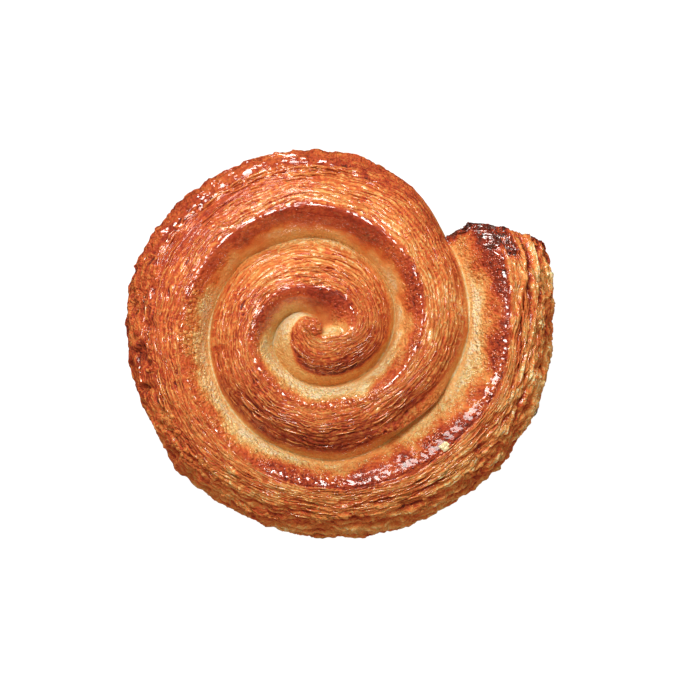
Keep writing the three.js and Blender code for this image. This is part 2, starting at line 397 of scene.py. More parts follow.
# %% [markdown]
# ## Laying the grids
# The top is laid as a grid of sections and rows. Where a flaky face meets the groove of the next
# turn, both use the same points, so the skin stays closed. Turns have different numbers of
# sections, so rows that differ in number are zipped: triangles walk along both rows at once.

# %% A store for points and triangles
class Dough:
    """Points with what is known about each, and the triangles between them."""

    def __init__(self):
        self.points = []
        self.angle = []
        self.zone = []
        self.across = []
        self.faces = []
        self.count = 0

    def add(self, points, angle, zone, across):
        shape = points.shape[:-1]
        size = int(np.prod(shape))
        self.points.append(points.reshape(-1, 3))
        self.angle.append(np.broadcast_to(angle, shape).reshape(-1))
        self.zone.append(np.full(size, zone))
        self.across.append(np.broadcast_to(across, shape).reshape(-1))
        numbers = np.arange(self.count, self.count + size).reshape(shape)
        self.count += size
        return numbers

    def join_grid(self, numbers):
        a, b = numbers[:-1, :-1], numbers[:-1, 1:]
        c, d = numbers[1:, 1:], numbers[1:, :-1]
        self.faces.append(np.stack((a, b, c), axis=-1).reshape(-1, 3))
        self.faces.append(np.stack((a, c, d), axis=-1).reshape(-1, 3))

    def zip_rows(self, left, right, left_at=None, right_at=None):
        left_at = np.linspace(0, 1, len(left)) if left_at is None else left_at
        right_at = np.linspace(0, 1, len(right)) if right_at is None else right_at
        i = j = 0
        made = []
        while i < len(left) - 1 or j < len(right) - 1:
            left_done = i == len(left) - 1
            right_done = j == len(right) - 1
            if not left_done and (right_done or left_at[i + 1] <= right_at[j + 1]):
                made.append((left[i], left[i + 1], right[j]))
                i += 1
            else:
                made.append((left[i], right[j + 1], right[j]))
                j += 1
        made = [f for f in made if len(set(f)) == 3]
        if made:
            self.faces.append(np.array(made))


ZONES = GROOVE, SUGARED, LEAFY, SIDE, END, BASE = range(6)
dough = Dough()
print("kinds of surface:", len(ZONES))

# %% Sections along the strip
SECTION_GAP = 0.62
SUGARED_ROWS = 22


def sections_between(start, end):
    low, high = strip_length(start), strip_length(end)
    count = int((high - low) / SECTION_GAP)
    return np.interp(np.linspace(low, high, count + 1), fine_lengths, fine_angles)


wound = sections_between(0.0, FREE_START)
free = sections_between(FREE_START, STRIP_END)
angles = np.concatenate((wound, free[1:]))
notch = len(wound) - 1
column = angles[:, None]

groove = dough.add(place(angles, groove_radius(angles), groove_height(angles)), angles, GROOVE, 0.0)
across = np.linspace(0, 1, SUGARED_ROWS + 1)[1:]
sugared = dough.add(sugared_face(column, across), column, SUGARED, across)
sugared = np.concatenate((groove[:, None], sugared), axis=1)
dough.join_grid(sugared)
print("sections:", len(angles), "first free section:", notch)

# %% The flaky face
LEAF_SEED, SIDE_SEED = 100, 300


def leaf_rows(a, leaves, seed):
    lines = leaf_lines(strip_length(a), leaves, seed)
    low, high = lines[:, :-1, None], lines[:, 1:, None]
    inside = np.arange(ROWS_PER_LEAF) / ROWS_PER_LEAF
    return (low + (high - low) * inside).reshape(len(a), -1)


def across_leaves(a):
    rows = leaf_rows(a, LEAVES, LEAF_SEED)[:, 1:] * LEAF_ROWS_END
    return np.concatenate((rows, np.full((len(a), 1), LEAF_ROWS_END)), axis=1)


across = across_leaves(angles)
leafy = dough.add(leaf_face(column, across), column, LEAFY, across)
leafy = np.concatenate((sugared[:, -1:], leafy), axis=1)
dough.join_grid(leafy)
print("rows across the flaky face:", leafy.shape[1])

# %% The free side of the last turn
SIDE_FOOT_ROWS = 4
side_flaky = leaf_rows(free, SIDE_LEAVES, SIDE_SEED)[:, 1:] * SIDE_BREAK
side_foot = np.broadcast_to(np.linspace(SIDE_BREAK, 1, SIDE_FOOT_ROWS), (len(free), SIDE_FOOT_ROWS))
down = np.concatenate((side_flaky, side_foot), axis=1)
rim_points = leaf_face(free[1:], np.ones(len(free) - 1))
rim = np.concatenate((groove[-1:], dough.add(rim_points, free[1:], LEAFY, 1.0)))
side = dough.add(free_side(free[:, None], down), free[:, None], SIDE, down)
side = np.concatenate((rim[:, None], side), axis=1)
dough.join_grid(side)
dough.join_grid(np.stack((leafy[notch:, -1], rim), axis=1))
print("rows down the side:", side.shape[1])

# %% The heart, from the tip to the first groove
HEART_SECTIONS = 144
HEART_ROW = 0.3
WIDE_ENOUGH = 5.0
heart_angles = np.linspace(-TURN, 0, HEART_SECTIONS + 1)
tip = int(dough.add(place(np.zeros(1), np.zeros(1), np.full(1, TIP_HEIGHT)), 0.0, LEAFY, 0.0)[0])


def heart_section(a):
    one = np.array([a])
    ring_radius, ring_height = inner_edge(one)
    ring = dough.add(place(one, ring_radius, ring_height), a, SUGARED, 0.0)
    rise_span = float(crest_radius(one)[0] - ring_radius[0])
    count = int(np.clip(round(rise_span / HEART_ROW), 0, SUGARED_ROWS))
    up = np.arange(1, count + 1) / max(count, 1)
    face = np.concatenate((ring, dough.add(sugared_face(one, up), a, SUGARED, up)))
    leaf_span = float(groove_radius(one + TURN)[0] - crest_radius(one)[0])
    out = across_leaves(one)[0]
    if leaf_span < WIDE_ENOUGH:
        count = int(max(1, round(leaf_span / HEART_ROW)))
        out = np.arange(1, count) / count
    leaves = np.concatenate((face[-1:], dough.add(leaf_face(one, out), a, LEAFY, out)))
    return {"core": [tip, ring[0]], "face": face, "leaves": leaves}


before = {"core": [tip], "face": [tip], "leaves": [tip]}
heart_edge = [tip]
for a in heart_angles[1:]:
    if a < 0:
        after = heart_section(float(a))
    else:
        after = {"core": [tip, groove[0]], "face": sugared[0], "leaves": leafy[0]}
    for part in before:
        dough.zip_rows(list(before[part]), list(after[part]))
    heart_edge.append(after["leaves"][-1])
    before = after
foot_angles = np.concatenate((heart_angles[:-1], wound))
foot_edge = np.concatenate((heart_edge[:-1], leafy[: notch + 1, -1]))
dough.zip_rows(list(groove), list(foot_edge), list(angles - TURN), list(foot_angles))
print("points so far:", dough.count)

# %% The blunt end
END_FACING = math.radians(741)
END_BULGE = 1.6
top = np.concatenate((sugared[-1], leafy[-1, 1:], rim[-1:]))
so_far = np.concatenate(dough.points)
end_direction = np.array((-math.sin(END_FACING), math.cos(END_FACING), 0.0))
share = np.linspace(0, 1, len(top))[1:-1, None]
above = top
for row in range(1, side.shape[1]):
    near, far = so_far[side[0, row]], so_far[side[-1, row]]
    fall = down[-1, row - 1]
    points = near + (far - near) * share
    points = points + end_direction * END_BULGE * np.sin(math.pi * share) * (1 - fall * fall)
    points[:, 2] = so_far[top[1:-1], 2] * (1 - fall)
    middle_row = dough.add(points, STRIP_END, END, fall)
    below = np.concatenate((side[:1, row], middle_row, side[-1:, row]))
    dough.join_grid(np.stack((above, below)))
    above = below
print("points with the end:", dough.count)

# %% The base, in rings that keep fewer points toward the middle
BASE_RINGS = ((0.97, 1), (0.93, 1), (0.86, 2), (0.76, 2), (0.64, 2), (0.5, 2), (0.36, 3), (0.22, 3), (0.1, 3))
loop = np.concatenate((side[:, -1], above[1:-1][::-1]))
so_far = np.concatenate(dough.points)
ring = loop
for share, keep_every in BASE_RINGS:
    inner_ring = dough.add(so_far[loop[::keep_every]] * (share, share, 0), 0.0, BASE, share)
    dough.zip_rows(list(inner_ring) + [inner_ring[0]], list(ring) + [ring[0]])
    ring = inner_ring
hub = int(dough.add(np.zeros((1, 3)), 0.0, BASE, 0.0)[0])
dough.faces.append(np.array([(hub, b, a) for a, b in zip(ring, np.roll(ring, -1))]))
print("points:", dough.count, "triangles:", sum(len(f) for f in dough.faces))


# %% Check that the skin is closed
def point_normals(points, faces):
    corners = points[faces]
    face_normals = np.cross(corners[:, 1] - corners[:, 0], corners[:, 2] - corners[:, 0])
    normals = np.zeros_like(points)
    for corner in range(3):
        np.add.at(normals, faces[:, corner], face_normals)
    return normals / np.maximum(np.linalg.norm(normals, axis=1, keepdims=True), 1e-9)


points = np.concatenate(dough.points)
angle = np.concatenate(dough.angle)
zone = np.concatenate(dough.zone)
across = np.concatenate(dough.across)
faces = np.concatenate(dough.faces).astype(np.int64)
length = strip_length(angle)
is_groove, is_sugared, is_leafy, is_side, is_end, is_base = (zone == kind for kind in ZONES)
normals = point_normals(points, faces)
normals[is_groove] = (0, 0, 1)
directed = np.concatenate((faces[:, [0, 1]], faces[:, [1, 2]], faces[:, [2, 0]]))
forward = directed[:, 0] * dough.count + directed[:, 1]
backward = directed[:, 1] * dough.count + directed[:, 0]
print("edges without a partner:", len(np.setxor1d(forward, backward)))
print("doubled edges:", len(forward) - len(np.unique(forward)))
a, b, c = (points[faces[:, corner]] for corner in range(3))
volume = np.einsum("ij,ij->i", a, np.cross(b, c)).sum() / 6
print("volume, cubic cm:", round(float(volume) / 1000, 1))

# %% [markdown]
# ## Relief of the leaves
# Each leaf of dough stands up to an edge and falls to a slit on both sides. Some edges are sharp
# like paper and some are round, and slits open and close along the strip. All of it is added
# along the normals of the smooth form, which keeps the skin closed. Toward the foot of a turn the
# leaves were pressed against the next turn, so there the face stays smooth.

# %% Noise and marks at every point of the mesh
def spots(seed, size):
    """Smooth noise in space, with spots of about this size in millimetres."""
    return noise(seed, *(points.T / size))


def rough_spots(seed, size):
    return rough_noise(seed, *(points.T / size))


def marked(marks):
    """What marks along the strip say for every point."""
    return along_strip(angle, marks)


def stretch(start, full, fading, end):
    """1 along a stretch of the strip, with soft ends, in degrees."""
    return rise(start, full, angle) * (1 - rise(fading, end, angle))


relief = np.zeros(dough.count)
edge = np.zeros(dough.count)
slit = np.zeros(dough.count)


def leaf_relief(which, share, leaves, seed, low, high):
    """Rise of each leaf to its edge, opening of the slits, and lift of the leaf in millimetres."""
    s = length[which]
    number, t = leaf_place(s, share, leaves, seed)
    peak = blend(0.2, 0.85, noise(seed + 30 + number, s / 6))
    sharp = blend(0.75, 1.4, noise(seed + 20 + number, s / 7))
    rising = np.where(t < peak, t / peak, (1 - t) / (1 - peak)) ** sharp
    line = np.where(t < 0.5, number, number + 1)
    opening = rise(0.55, 0.9, noise(seed + 80 + line, s / 4.0)) * (1 - rising) ** 1.5
    lift = blend(low, high, noise(seed + 60 + number, s / 3.0) ** 1.4)
    return rising, opening, lift


print("points to work on:", len(relief))

# %% Edges and slits on the flaky face
SLIT_DEPTH = 0.3
calm = rise(0.3, 0.62, rough_spots(45, 7.0))
here = angle[is_leafy]
share = np.clip(across[is_leafy] / LEAF_ROWS_END, 0, 1)
rising, opening, lift = leaf_relief(is_leafy, share, LEAVES, LEAF_SEED, 0.12, 0.75)
toward_foot = across[is_leafy] / leaf_foot(here)
fade = rise(0.0, 0.1, share) * (1 - rise(0.88, 1.04, toward_foot) * (1 - freedom(here)))
stand = blend(0.45, 1, calm[is_leafy]) * blend(1, 1.9, rise(COARSE_FROM, COARSE_FULL, here))
heart = 1 - rise(-30, 60, here)
stand = stand * (1 - 0.4 * heart)
relief[is_leafy] = fade * stand * (lift * (rising - 0.4) - SLIT_DEPTH * opening)
edge[is_leafy] = fade * rising
slit[is_leafy] = fade * opening * (1 - 0.6 * heart)
print("leaf relief, mm:", relief.min().round(2), "to", relief.max().round(2))

# %% Edges and slits on the free side
SIDE_SLIT_DEPTH = 0.5
here = angle[is_side]
share = np.clip(across[is_side] / SIDE_BREAK, 0, 1)
rising, opening, lift = leaf_relief(is_side, share, SIDE_LEAVES, SIDE_SEED, 0.3, 1.0)
fade = freedom(here) * (1 - rise(0.8, 1.0, across[is_side]))
fade = fade * (1 - 0.85 * bump(480, 55, here))
relief[is_side] = fade * (lift * (rising - 0.4) - SIDE_SLIT_DEPTH * opening)
edge[is_side] = fade * rising
slit[is_side] = fade * opening
print("with the side, mm:", relief.min().round(2), "to", relief.max().round(2))

# %% [markdown]
# ## Domes of sugar
# Coarse sugar melts into little domes on the inner faces, the highest of them along the front.
# The domes come from a cell pattern in space: near the centre of a cell the surface swells. A
# cell pattern in the shader would only shade like domes, and glints need slopes that really turn
# to the light.

# %% Domes of sugar
CELL = 1.1
CELL_REACH = 0.62
DOME_HEIGHT = 0.38
FRONT_DOMES = 0.2
CENTRE_STEP, NAME_STEP = 131, 977
SUGAR_STARTS = ((-60, 0.3), (0, 0.3), (60, 0.5), (120, 0.5), (180, 0.3), (225, 0.12), (330, 0.15),
                (380, 0.4), (450, 0.5), (520, 0.2), (600, 0.12), (660, 0.12), (756, 0.06))
SUGARY = ((-60, 0.7), (20, 0.8), (60, 0.35), (130, 0.3), (180, 0.9), (330, 1.0), (380, 0.8), (430, 0.35),
          (500, 0.45), (530, 1.0), (718, 1.0), (732, 0.6), (742, 1.0))


def nearest_cell(where, size, seed):
    """Distance to the nearest of one random centre in each cube, in cube widths, and its number."""
    scaled = where / size
    home = np.floor(scaled).astype(np.int64)
    best = np.full(len(where), 9.0)
    name = np.zeros(len(where))
    for step in np.ndindex(3, 3, 3):
        cube = home + np.array(step) - 1
        key = cube @ np.array(LATTICE_STEPS) + seed * SEED_STEP
        centre = np.stack([NOISE_TABLE[(key + k * CENTRE_STEP) % TABLE_SIZE] for k in range(3)], axis=1)
        distance = np.linalg.norm(cube + centre - scaled, axis=1)
        closer = distance < best
        best = np.where(closer, distance, best)
        name = np.where(closer, NOISE_TABLE[(key + NAME_STEP) % TABLE_SIZE], name)
    return best, name


distance, cell_name = nearest_cell(points, CELL, 11)
starts = marked(SUGAR_STARTS)
on_face = is_sugared * rise(starts - 0.15, starts + 0.2, across)
over_crest = is_leafy * (1 - rise(0.02, 0.14, across))
clusters = rise(0.3, 0.6, spots(40, 5.0))
sugar = np.maximum(on_face, over_crest) * marked(SUGARY) * blend(0.55, 1, clusters)
dome = np.clip(1 - distance / CELL_REACH, 0, 1) * rise(0.15, 0.5, cell_name)
relief += (DOME_HEIGHT + FRONT_DOMES * bump(275, 60, angle)) * sugar * dome**0.8
print("points with sugar:", int((sugar > 0.5).sum()))

# %% [markdown]
# ## The rim
# Caramel that ran over the rim baked into a glazed bead with ridges round the back, with a valley
# inside it at the upper left, and into crumbly crags and pits along the front. Toward the free
# end the layers of dough sprang apart too. A rim could be sculpted by hand, but noise that is
# stretched along the strip gives ridges and layers from a few marks, and stays easy to change.

# %% Where the rim is
FACE_WIDTH, LEAF_WIDTH, SIDE_DEPTH = 9.0, 12.0, 16.0
RIM_STARTS = ((396, 0.5), (430, 0.5), (455, 0.56), (475, 0.66), (490, 0.68), (520, 0.68), (540, 0.58),
              (600, 0.66), (690, 0.7))
out = np.select(
    [is_sugared, is_leafy, is_groove],
    [-FACE_WIDTH * (1 - across), LEAF_WIDTH * across, LEAF_WIDTH],
    LEAF_WIDTH + SIDE_DEPTH * across,
)
rim_start = marked(RIM_STARTS) + 0.25 * (rough_spots(49, 5.0) - 0.5)
rim_share = np.where(is_leafy, rise(rim_start, rim_start + 0.25, across), is_side * 1.0) * freedom(angle)
glazed = stretch(386, 406, 520, 556) * rim_share
print("points on the rim and on its glaze:", int((rim_share > 0.5).sum()), int((glazed > 0.5).sum()))

# %% Crags, ridges, bead and valley
CRAG_HEIGHT = 2.0
RIDGE_HEIGHT, SIDE_RIDGE_HEIGHT = 2.2, 3.0
BLISTER_HEIGHT = 1.3
BEAD_HEIGHT, BEAD_AT, BEAD_WIDTH = 1.1, 14.0, 2.8
VALLEY_DEPTH = 0.3
CRAGS = ((400, 0.5), (450, 0.6), (510, 0.7), (540, 1.0), (600, 1.1), (680, 1.0), (756, 0.9))
VALLEYS = ((450, 0.55), (475, 0.6), (490, 0.62), (505, 0.61), (520, 0.67))
OUTLINE_FIT = ((396, -0.3), (470, -0.4), (486, -0.9), (505, -0.3), (520, 0.3), (560, 0.0), (588, 0.5),
               (600, 0.3), (632, 0.3), (648, 0.0), (664, 0.0), (680, 0.2), (690, 0.9), (702, 0.5),
               (712, 0.8), (722, 0.2), (732, -1.0), (745, -1.0), (756, -0.4))


def flaked(field, steps):
    """Noise with flat tops and steep edges, like broken flakes."""
    scaled = field * steps
    floor = np.floor(scaled)
    return (floor + rise(0.35, 0.65, scaled - floor)) / steps


crag = flaked(rough_spots(50, 3.0), 7) - 0.5
relief += CRAG_HEIGHT * crag * rim_share * marked(CRAGS)
around = np.where(is_side, LEAF_WIDTH + 1.45 * (out - LEAF_WIDTH), out)
ridge = rough_noise(51, length / 9, around / 1.9) - 0.5
blister = rough_spots(53, 1.7) - 0.5
relief += (np.where(is_side, SIDE_RIDGE_HEIGHT, RIDGE_HEIGHT) * ridge + BLISTER_HEIGHT * blister) * glazed
valley = bump(marked(VALLEYS), 0.17, across) * is_leafy * stretch(445, 500, 512, 545)
relief -= VALLEY_DEPTH * valley
relief += BEAD_HEIGHT * bump(BEAD_AT, BEAD_WIDTH, out) * glazed
relief += marked(OUTLINE_FIT) * rim_share
print("with the rim, mm:", relief.min().round(2), "to", relief.max().round(2))

# %% Sprung layers and pits
LAYER_HEIGHT = 3.0
PIT_DEPTH = 1.5
LAYERS = ((560, 0.0), (600, 0.5), (650, 0.8), (700, 1.0))
PITS = ((500, 0.0), (525, 0.5), (540, 1.0), (570, 1.0), (590, 0.5), (640, 0.5), (700, 0.4), (756, 0.3))
layer = rough_noise(55, length / 7.0, out / 1.7)
layered = marked(LAYERS) * (is_leafy * rise(0.2, 0.5, across) + is_side)
relief += LAYER_HEIGHT * (flaked(layer, 5) - 0.5) * layered
pit = rise(0.62, 0.74, spots(52, 3.4)) * rim_share * marked(PITS)
relief -= PIT_DEPTH * pit
print("points in pits:", int((pit > 0.3).sum()))

# %% [markdown]
# ## Fold, lip, flake and burnt end
# A few features stand alone. A fold of dough lies over the groove at the lower right, pale
# scallops hang at the foot of the first turn, melted sugar makes a lip on the crest, a flake is
# folded up on the tail, and the tail's end is burnt into ropey wrinkles. Each is a bump across
# the strip that is switched on along one stretch of it, which is easier to move than a sculpted
# detail.

# %% Fold, scallops and lip
FOLD_HEIGHT = 1.7
SCALLOP_HEIGHT = 1.5
LIP_HEIGHT = 0.6
FOLD_LINE = ((298, 0.74), (304, 0.79), (312, 0.865), (324, 0.91), (340, 0.93))
LIPS = ((-100, 0.0), (0, 0.2), (60, 0.4), (330, 0.4), (400, 0.8), (450, 1.0), (520, 0.7), (600, 0.3),
        (640, 0.1), (700, 0.1), (756, 0.2))
fold = bump(marked(FOLD_LINE), 0.07, across) * stretch(290, 304, 326, 342) * is_leafy
relief += FOLD_HEIGHT * fold
scallop = bump(95, 44, angle) * rise(0.85, 0.94, across) * is_leafy * (1 - freedom(angle))
relief += scallop * (SCALLOP_HEIGHT * noise(48, length / 4.5) + 0.3)
lip = bump(0, 1.0, out) * (is_sugared | is_leafy) * marked(LIPS)
relief += LIP_HEIGHT * lip * (0.5 + noise(47, length / 5.0))
print("points on the fold:", int((fold > 0.5).sum()))

# %% Flake on the tail and burnt wrinkles
FLAP_HEIGHT, CREVICE_DEPTH = 1.2, 1.3
FLAP_WIDTH = 0.06
BURNT_DEPTH = 14.0
WRINKLE_SIZE = np.array((9.0, 1.8, 2.6))
WRINKLE_HEIGHT = 2.6
flap_line = 0.14 + 0.42 * np.clip((angle - 722) / 30, 0, 1)
at_tail = rise(714, 728, angle) * is_leafy
flap = bump(flap_line, FLAP_WIDTH, across) * at_tail * (1 - rise(747, 754, angle))
crevice = bump(flap_line + 0.16, FLAP_WIDTH, across) * at_tail
relief += (FLAP_HEIGHT * flap - CREVICE_DEPTH * crevice) * blend(0.6, 1.3, noise(58, length / 3.0))

toward_end = (angle - STRIP_END) / BURNT_DEPTH + 1 + 0.7 * (spots(60, 3.0) - 0.5)
crest_sides = [rise(0.45, 0.7, across), 1 - rise(0.32, 0.48, across)]
by_crest = np.select([is_sugared, is_leafy], crest_sides, 0.0)
burnt = np.maximum(rise(0.05, 0.45, toward_end) * by_crest, rise(0.8, 1.1, toward_end) * ~is_base)
burnt = np.where(is_end, 1 - rise(0.25, 0.7, across), burnt)
wrinkle = 1 - np.abs(2 * rough_spots(61, WRINKLE_SIZE[:, None]) - 1)
relief += burnt * (WRINKLE_HEIGHT * (wrinkle - 0.7))
print("burnt points:", int((burnt > 0.5).sum()))

# %% Tip, general unevenness and the final shape
TIP_REACH = 2.4
SWELL_HEIGHT, GRIT_HEIGHT = 0.8, 0.12
BASE_HOLLOWS = 0.35
near_tip = bump(0, TIP_REACH, np.hypot(points[:, 0] - LEAN[0], points[:, 1] - LEAN[1])) * ~is_base
relief += near_tip * (1.1 + 1.3 * (spots(63, 0.9) - 0.5))
free_of_base = np.clip(points[:, 2] / 4, 0, 1)
relief += free_of_base * (SWELL_HEIGHT * (spots(65, 8.0) - 0.5) + GRIT_HEIGHT * (spots(66, 1.1) - 0.5))
shape = points + normals * relief[:, None]
hollows = rise(0.4, 0.8, noise(67, points[is_base, 0] / 3, points[is_base, 1] / 3))
shape[is_base, 2] = BASE_HOLLOWS * hollows
shape[:, 2] = np.maximum(shape[:, 2], 0)
print("size, mm:", (shape.max(axis=0) - shape.min(axis=0)).round(1))

# %% [markdown]
# ## How far each point is baked, and painted shade and light
# The same number also carries painted shade and painted light, as said where each is set.
# Colour on a pastry is mostly one thing, how much heat and sugar a point got. So one number from
# pale dough to burnt sugar is kept on every point, and the material turns it into colour. It is
# low in the groove, rises up the sugared face, and is darkest on the crest, the free side and the
# strip's end. The marks along the strip were read from the photograph: degrees of winding,
# then a share of the way across or a level of browning.

# %% Browning and painted shade of the inner faces
BROWN_STARTS = ((-60, 1.1), (-30, 0.95), (-12, 0.75), (0, 0.58), (20, 0.46), (45, 0.38), (90, 0.34),
                (140, 0.44), (180, 0.52), (210, 0.72), (240, 0.82), (270, 0.78), (300, 0.7), (330, 0.64),
                (360, 0.52), (385, 0.42), (405, 0.38), (450, 0.42), (510, 0.48), (540, 0.58), (560, 0.64),
                (580, 0.64), (600, 0.6), (622, 0.54), (640, 0.48), (660, 0.36), (680, 0.52), (700, 0.66),
                (725, 0.62), (740, 0.46))
SMOOTH_FACES = ((20, 0), (45, 1), (130, 1), (200, 0.6), (330, 0.6), (395, 0), (425, 1), (505, 1), (540, 0),
                (690, 0), (715, -0.6))
BROWN_PEAKS = ((-60, 0.4), (0, 0.64), (45, 0.74), (100, 0.72), (140, 0.7), (180, 0.68), (225, 0.6),
               (270, 0.56), (340, 0.6), (380, 0.7), (420, 0.74), (480, 0.74), (510, 0.66), (540, 0.52),
               (560, 0.5), (580, 0.56), (620, 0.72), (640, 0.78), (665, 0.77), (700, 0.72), (720, 0.76),
               (738, 0.74), (745, 0.6))
# Groove floors: pale dough, made browner as painted shade where the floor lies in shade: round the heart, in
# the grooves at the back and at the lower right.
FLOORS = ((-75, 0.0), (-60, -0.06), (-16, -0.06), (2, 0.28), (20, 0.42), (60, 0.42), (100, 0.34),
          (140, 0.24), (175, 0.14), (200, 0.0), (225, -0.1), (270, -0.12), (330, -0.06), (380, -0.05),
          (420, 0.15), (480, 0.22), (520, 0.04), (560, -0.06), (600, -0.05), (620, 0.0), (640, 0.17),
          (660, 0.15), (688, 0.12), (705, -0.08), (720, -0.18), (735, -0.1), (748, 0.08), (756, 0.2))
# Painted shade in the creases: how far the bottom of each inner face is browned to stand in for the shade
# there.
CREASE_SHADES = ((235, 0.0), (260, 0.15), (290, 0.25), (345, 0.25), (380, 0.1), (430, 0.22), (520, 0.12),
           (560, 0.1), (600, 0.12), (620, 0.16), (642, 0.3), (665, 0.22), (690, 0.12), (756, 0.2))
KNOB_BROWN = 0.6

patches = rough_spots(70, 4.0) - 0.5
lobes = rough_spots(74, 7.0) - 0.5
starts = marked(BROWN_STARTS)
smooth = marked(SMOOTH_FACES)
up_face = across + 0.35 * patches + blend(0.5, 0.15, np.maximum(smooth, 0)) * lobes
floor_brown_and_shade = marked(FLOORS)
crest_brown = marked(BROWN_PEAKS)
turn_brown = rise(starts - blend(0.36, 0.2, smooth), starts + blend(0.3, 0.16, smooth), up_face)
face_brown_and_shade = blend(floor_brown_and_shade, crest_brown, turn_brown)
face_brown_and_shade = face_brown_and_shade - 0.22 * sugar * dome + 0.24 * bump(740, 9, angle) * rise(0.3, 0.6, across)
# Painted shade: the inner face is made browner toward the crease.
crease_shade = 1 - rise(0.0, 0.18, across + 0.25 * patches)
face_brown_and_shade = blend(face_brown_and_shade, np.maximum(face_brown_and_shade, marked(CREASE_SHADES)), crease_shade)
face_brown_and_shade = blend(face_brown_and_shade, KNOB_BROWN, 1 - rise(-75, -45, angle))
print("browning of the inner faces:", face_brown_and_shade[is_sugared].mean().round(2))

# %% Browning and painted shade of the flaky faces, painted light on the free side
CREST_LEAVES = ((-360, 0.56), (-180, 0.4), (-60, 0.42), (0, 0.56), (40, 0.56), (90, 0.52), (180, 0.62),
                (270, 0.54), (330, 0.46), (380, 0.34), (450, 0.48), (500, 0.62), (560, 0.63), (620, 0.42),
                (660, 0.46), (690, 0.44), (720, 0.38), (756, 0.46))
# Leaves toward the foot are browner than at the crest; at the front, where the feet lie in shade, they are
# made darker still as painted shade.
FOOT_LEAVES = ((-180, 0.6), (-90, 1.02), (-30, 0.86), (30, 0.54), (90, 0.4), (150, 0.54), (200, 0.66),
               (240, 0.8), (320, 0.76), (360, 0.46), (385, 0.66), (410, 0.74), (430, 0.7), (450, 0.6),
               (500, 0.66), (560, 0.68), (620, 0.52), (660, 0.58), (690, 0.58), (720, 0.52), (756, 0.5))
# Smooth foot of each turn: pale dough, made tan as painted shade at the front, where it lies in shade.
FOOT_BROWN = ((-170, -0.06), (-110, 0.2), (-40, 0.24), (0, 0.14), (30, 0.08), (90, 0.1), (180, 0.24),
              (225, 0.26), (300, 0.24), (345, 0.28))
OVER_EDGE = ((600, 0.14), (630, 0.24), (690, 0.22), (730, 0.14))
FOLD_BROWN = ((300, 0.62), (312, 0.56), (324, 0.4), (340, 0.34))
SIDE_BROWN = ((396, 0.76), (430, 0.73), (460, 0.64), (490, 0.69), (505, 0.73), (515, 0.73), (525, 0.72),
              (550, 0.8), (570, 0.66), (600, 0.54), (640, 0.53), (665, 0.6), (690, 0.6), (715, 0.54),
              (756, 0.6))
SCALLOP_BROWN, FLAKE_BROWN = 0.06, 0.12

share = np.clip(across / leaf_foot(angle), 0, 1)
browning = share ** blend(2.2, 1, rise(-20, 60, angle))
leaf_brown_and_shade = blend(marked(CREST_LEAVES), marked(FOOT_LEAVES), browning)
over_edge = marked(OVER_EDGE)
leaf_brown_and_shade = blend(crest_brown, leaf_brown_and_shade, rise(over_edge - 0.14, over_edge, across + 0.2 * patches))
smooth_foot = rise(0.92, 1.06, across / leaf_foot(angle) + 0.15 * patches) * (1 - freedom(angle))
leaf_brown_and_shade = blend(leaf_brown_and_shade, marked(FOOT_BROWN), smooth_foot)
leaf_brown_and_shade = blend(leaf_brown_and_shade, marked(FOLD_BROWN), fold)
leaf_brown_and_shade = blend(leaf_brown_and_shade, SCALLOP_BROWN, scallop)
pale_side = bump(flap_line - 0.04, 0.07, across) * at_tail
leaf_brown_and_shade = blend(leaf_brown_and_shade, FLAKE_BROWN, pale_side * stretch(728, 738, 745, 752))
leaf_brown_and_shade = leaf_brown_and_shade + 0.5 * crevice + 0.2 * flap
leaf_brown_and_shade = blend(leaf_brown_and_shade, marked(SIDE_BROWN), rim_share * is_leafy)
# Painted light: the free side is made paler, except along the front, to stand in for light on its steep face.
side_brown_and_light = marked(SIDE_BROWN) - 0.07 * (1 - bump(630, 30, angle))
print("browning of the flaky faces:", leaf_brown_and_shade[is_leafy].mean().round(2))

# %% All of the browning, painted shade and painted light together
END_BROWN = 0.72
TIP_BROWN = 0.6
VALLEY_BROWN = (0.75, 0.8)
DARKEST_CRUST, CHARRED = 0.85, 0.93
PALEST_DOUGH = -0.18
CREASE_SHADOW_LINES = ((205, 0.0), (240, 0.1), (270, 0.3), (330, 0.3), (350, 0.0), (420, 0.0), (440, 0.25),
                (500, 0.25), (520, 0.0))
# Paleness of leaf edges: real paler edges, and also painted light, as they are paler at the back, where they
# face the light, than at the front, where they lie in shade.
EDGE_PALE = ((-360, 0.12), (-90, 0.1), (0, 0.2), (90, 0.34), (180, 0.24), (270, 0.14), (360, 0.24),
             (430, 0.3), (500, 0.24), (600, 0.22), (756, 0.24))

by_zone = [face_brown_and_shade, leaf_brown_and_shade, side_brown_and_light, floor_brown_and_shade]
baked = np.select([is_sugared, is_leafy, is_side, is_groove], by_zone, END_BROWN)
# Painted shade: a thin broken dark line along the groove floor, where the crease lies in shadow.
baked = baked + is_groove * marked(CREASE_SHADOW_LINES) * rise(0.3, 0.6, noise(76, length / 3.0))
paleness = marked(EDGE_PALE) * blend(0.4, 1.6, spots(72, 2.2))
baked = baked + 0.22 * patches + 0.25 * lobes + 0.16 * slit - paleness * edge**2.5 + 0.1 * pit
baked = baked + 1.3 * layered * (0.5 - layer)
baked = blend(baked, np.clip(baked, *VALLEY_BROWN), 0.95 * valley)
baked = np.minimum(blend(baked, TIP_BROWN, near_tip), DARKEST_CRUST)
charring = burnt * (1 - pale_side) * rise(0.35, 0.6, wrinkle + 0.3 * patches + 0.15)
baked = np.clip(blend(baked, CHARRED, charring), PALEST_DOUGH, 1)
print("baked, mean and spread:", baked.mean().round(2), baked.std().round(2))

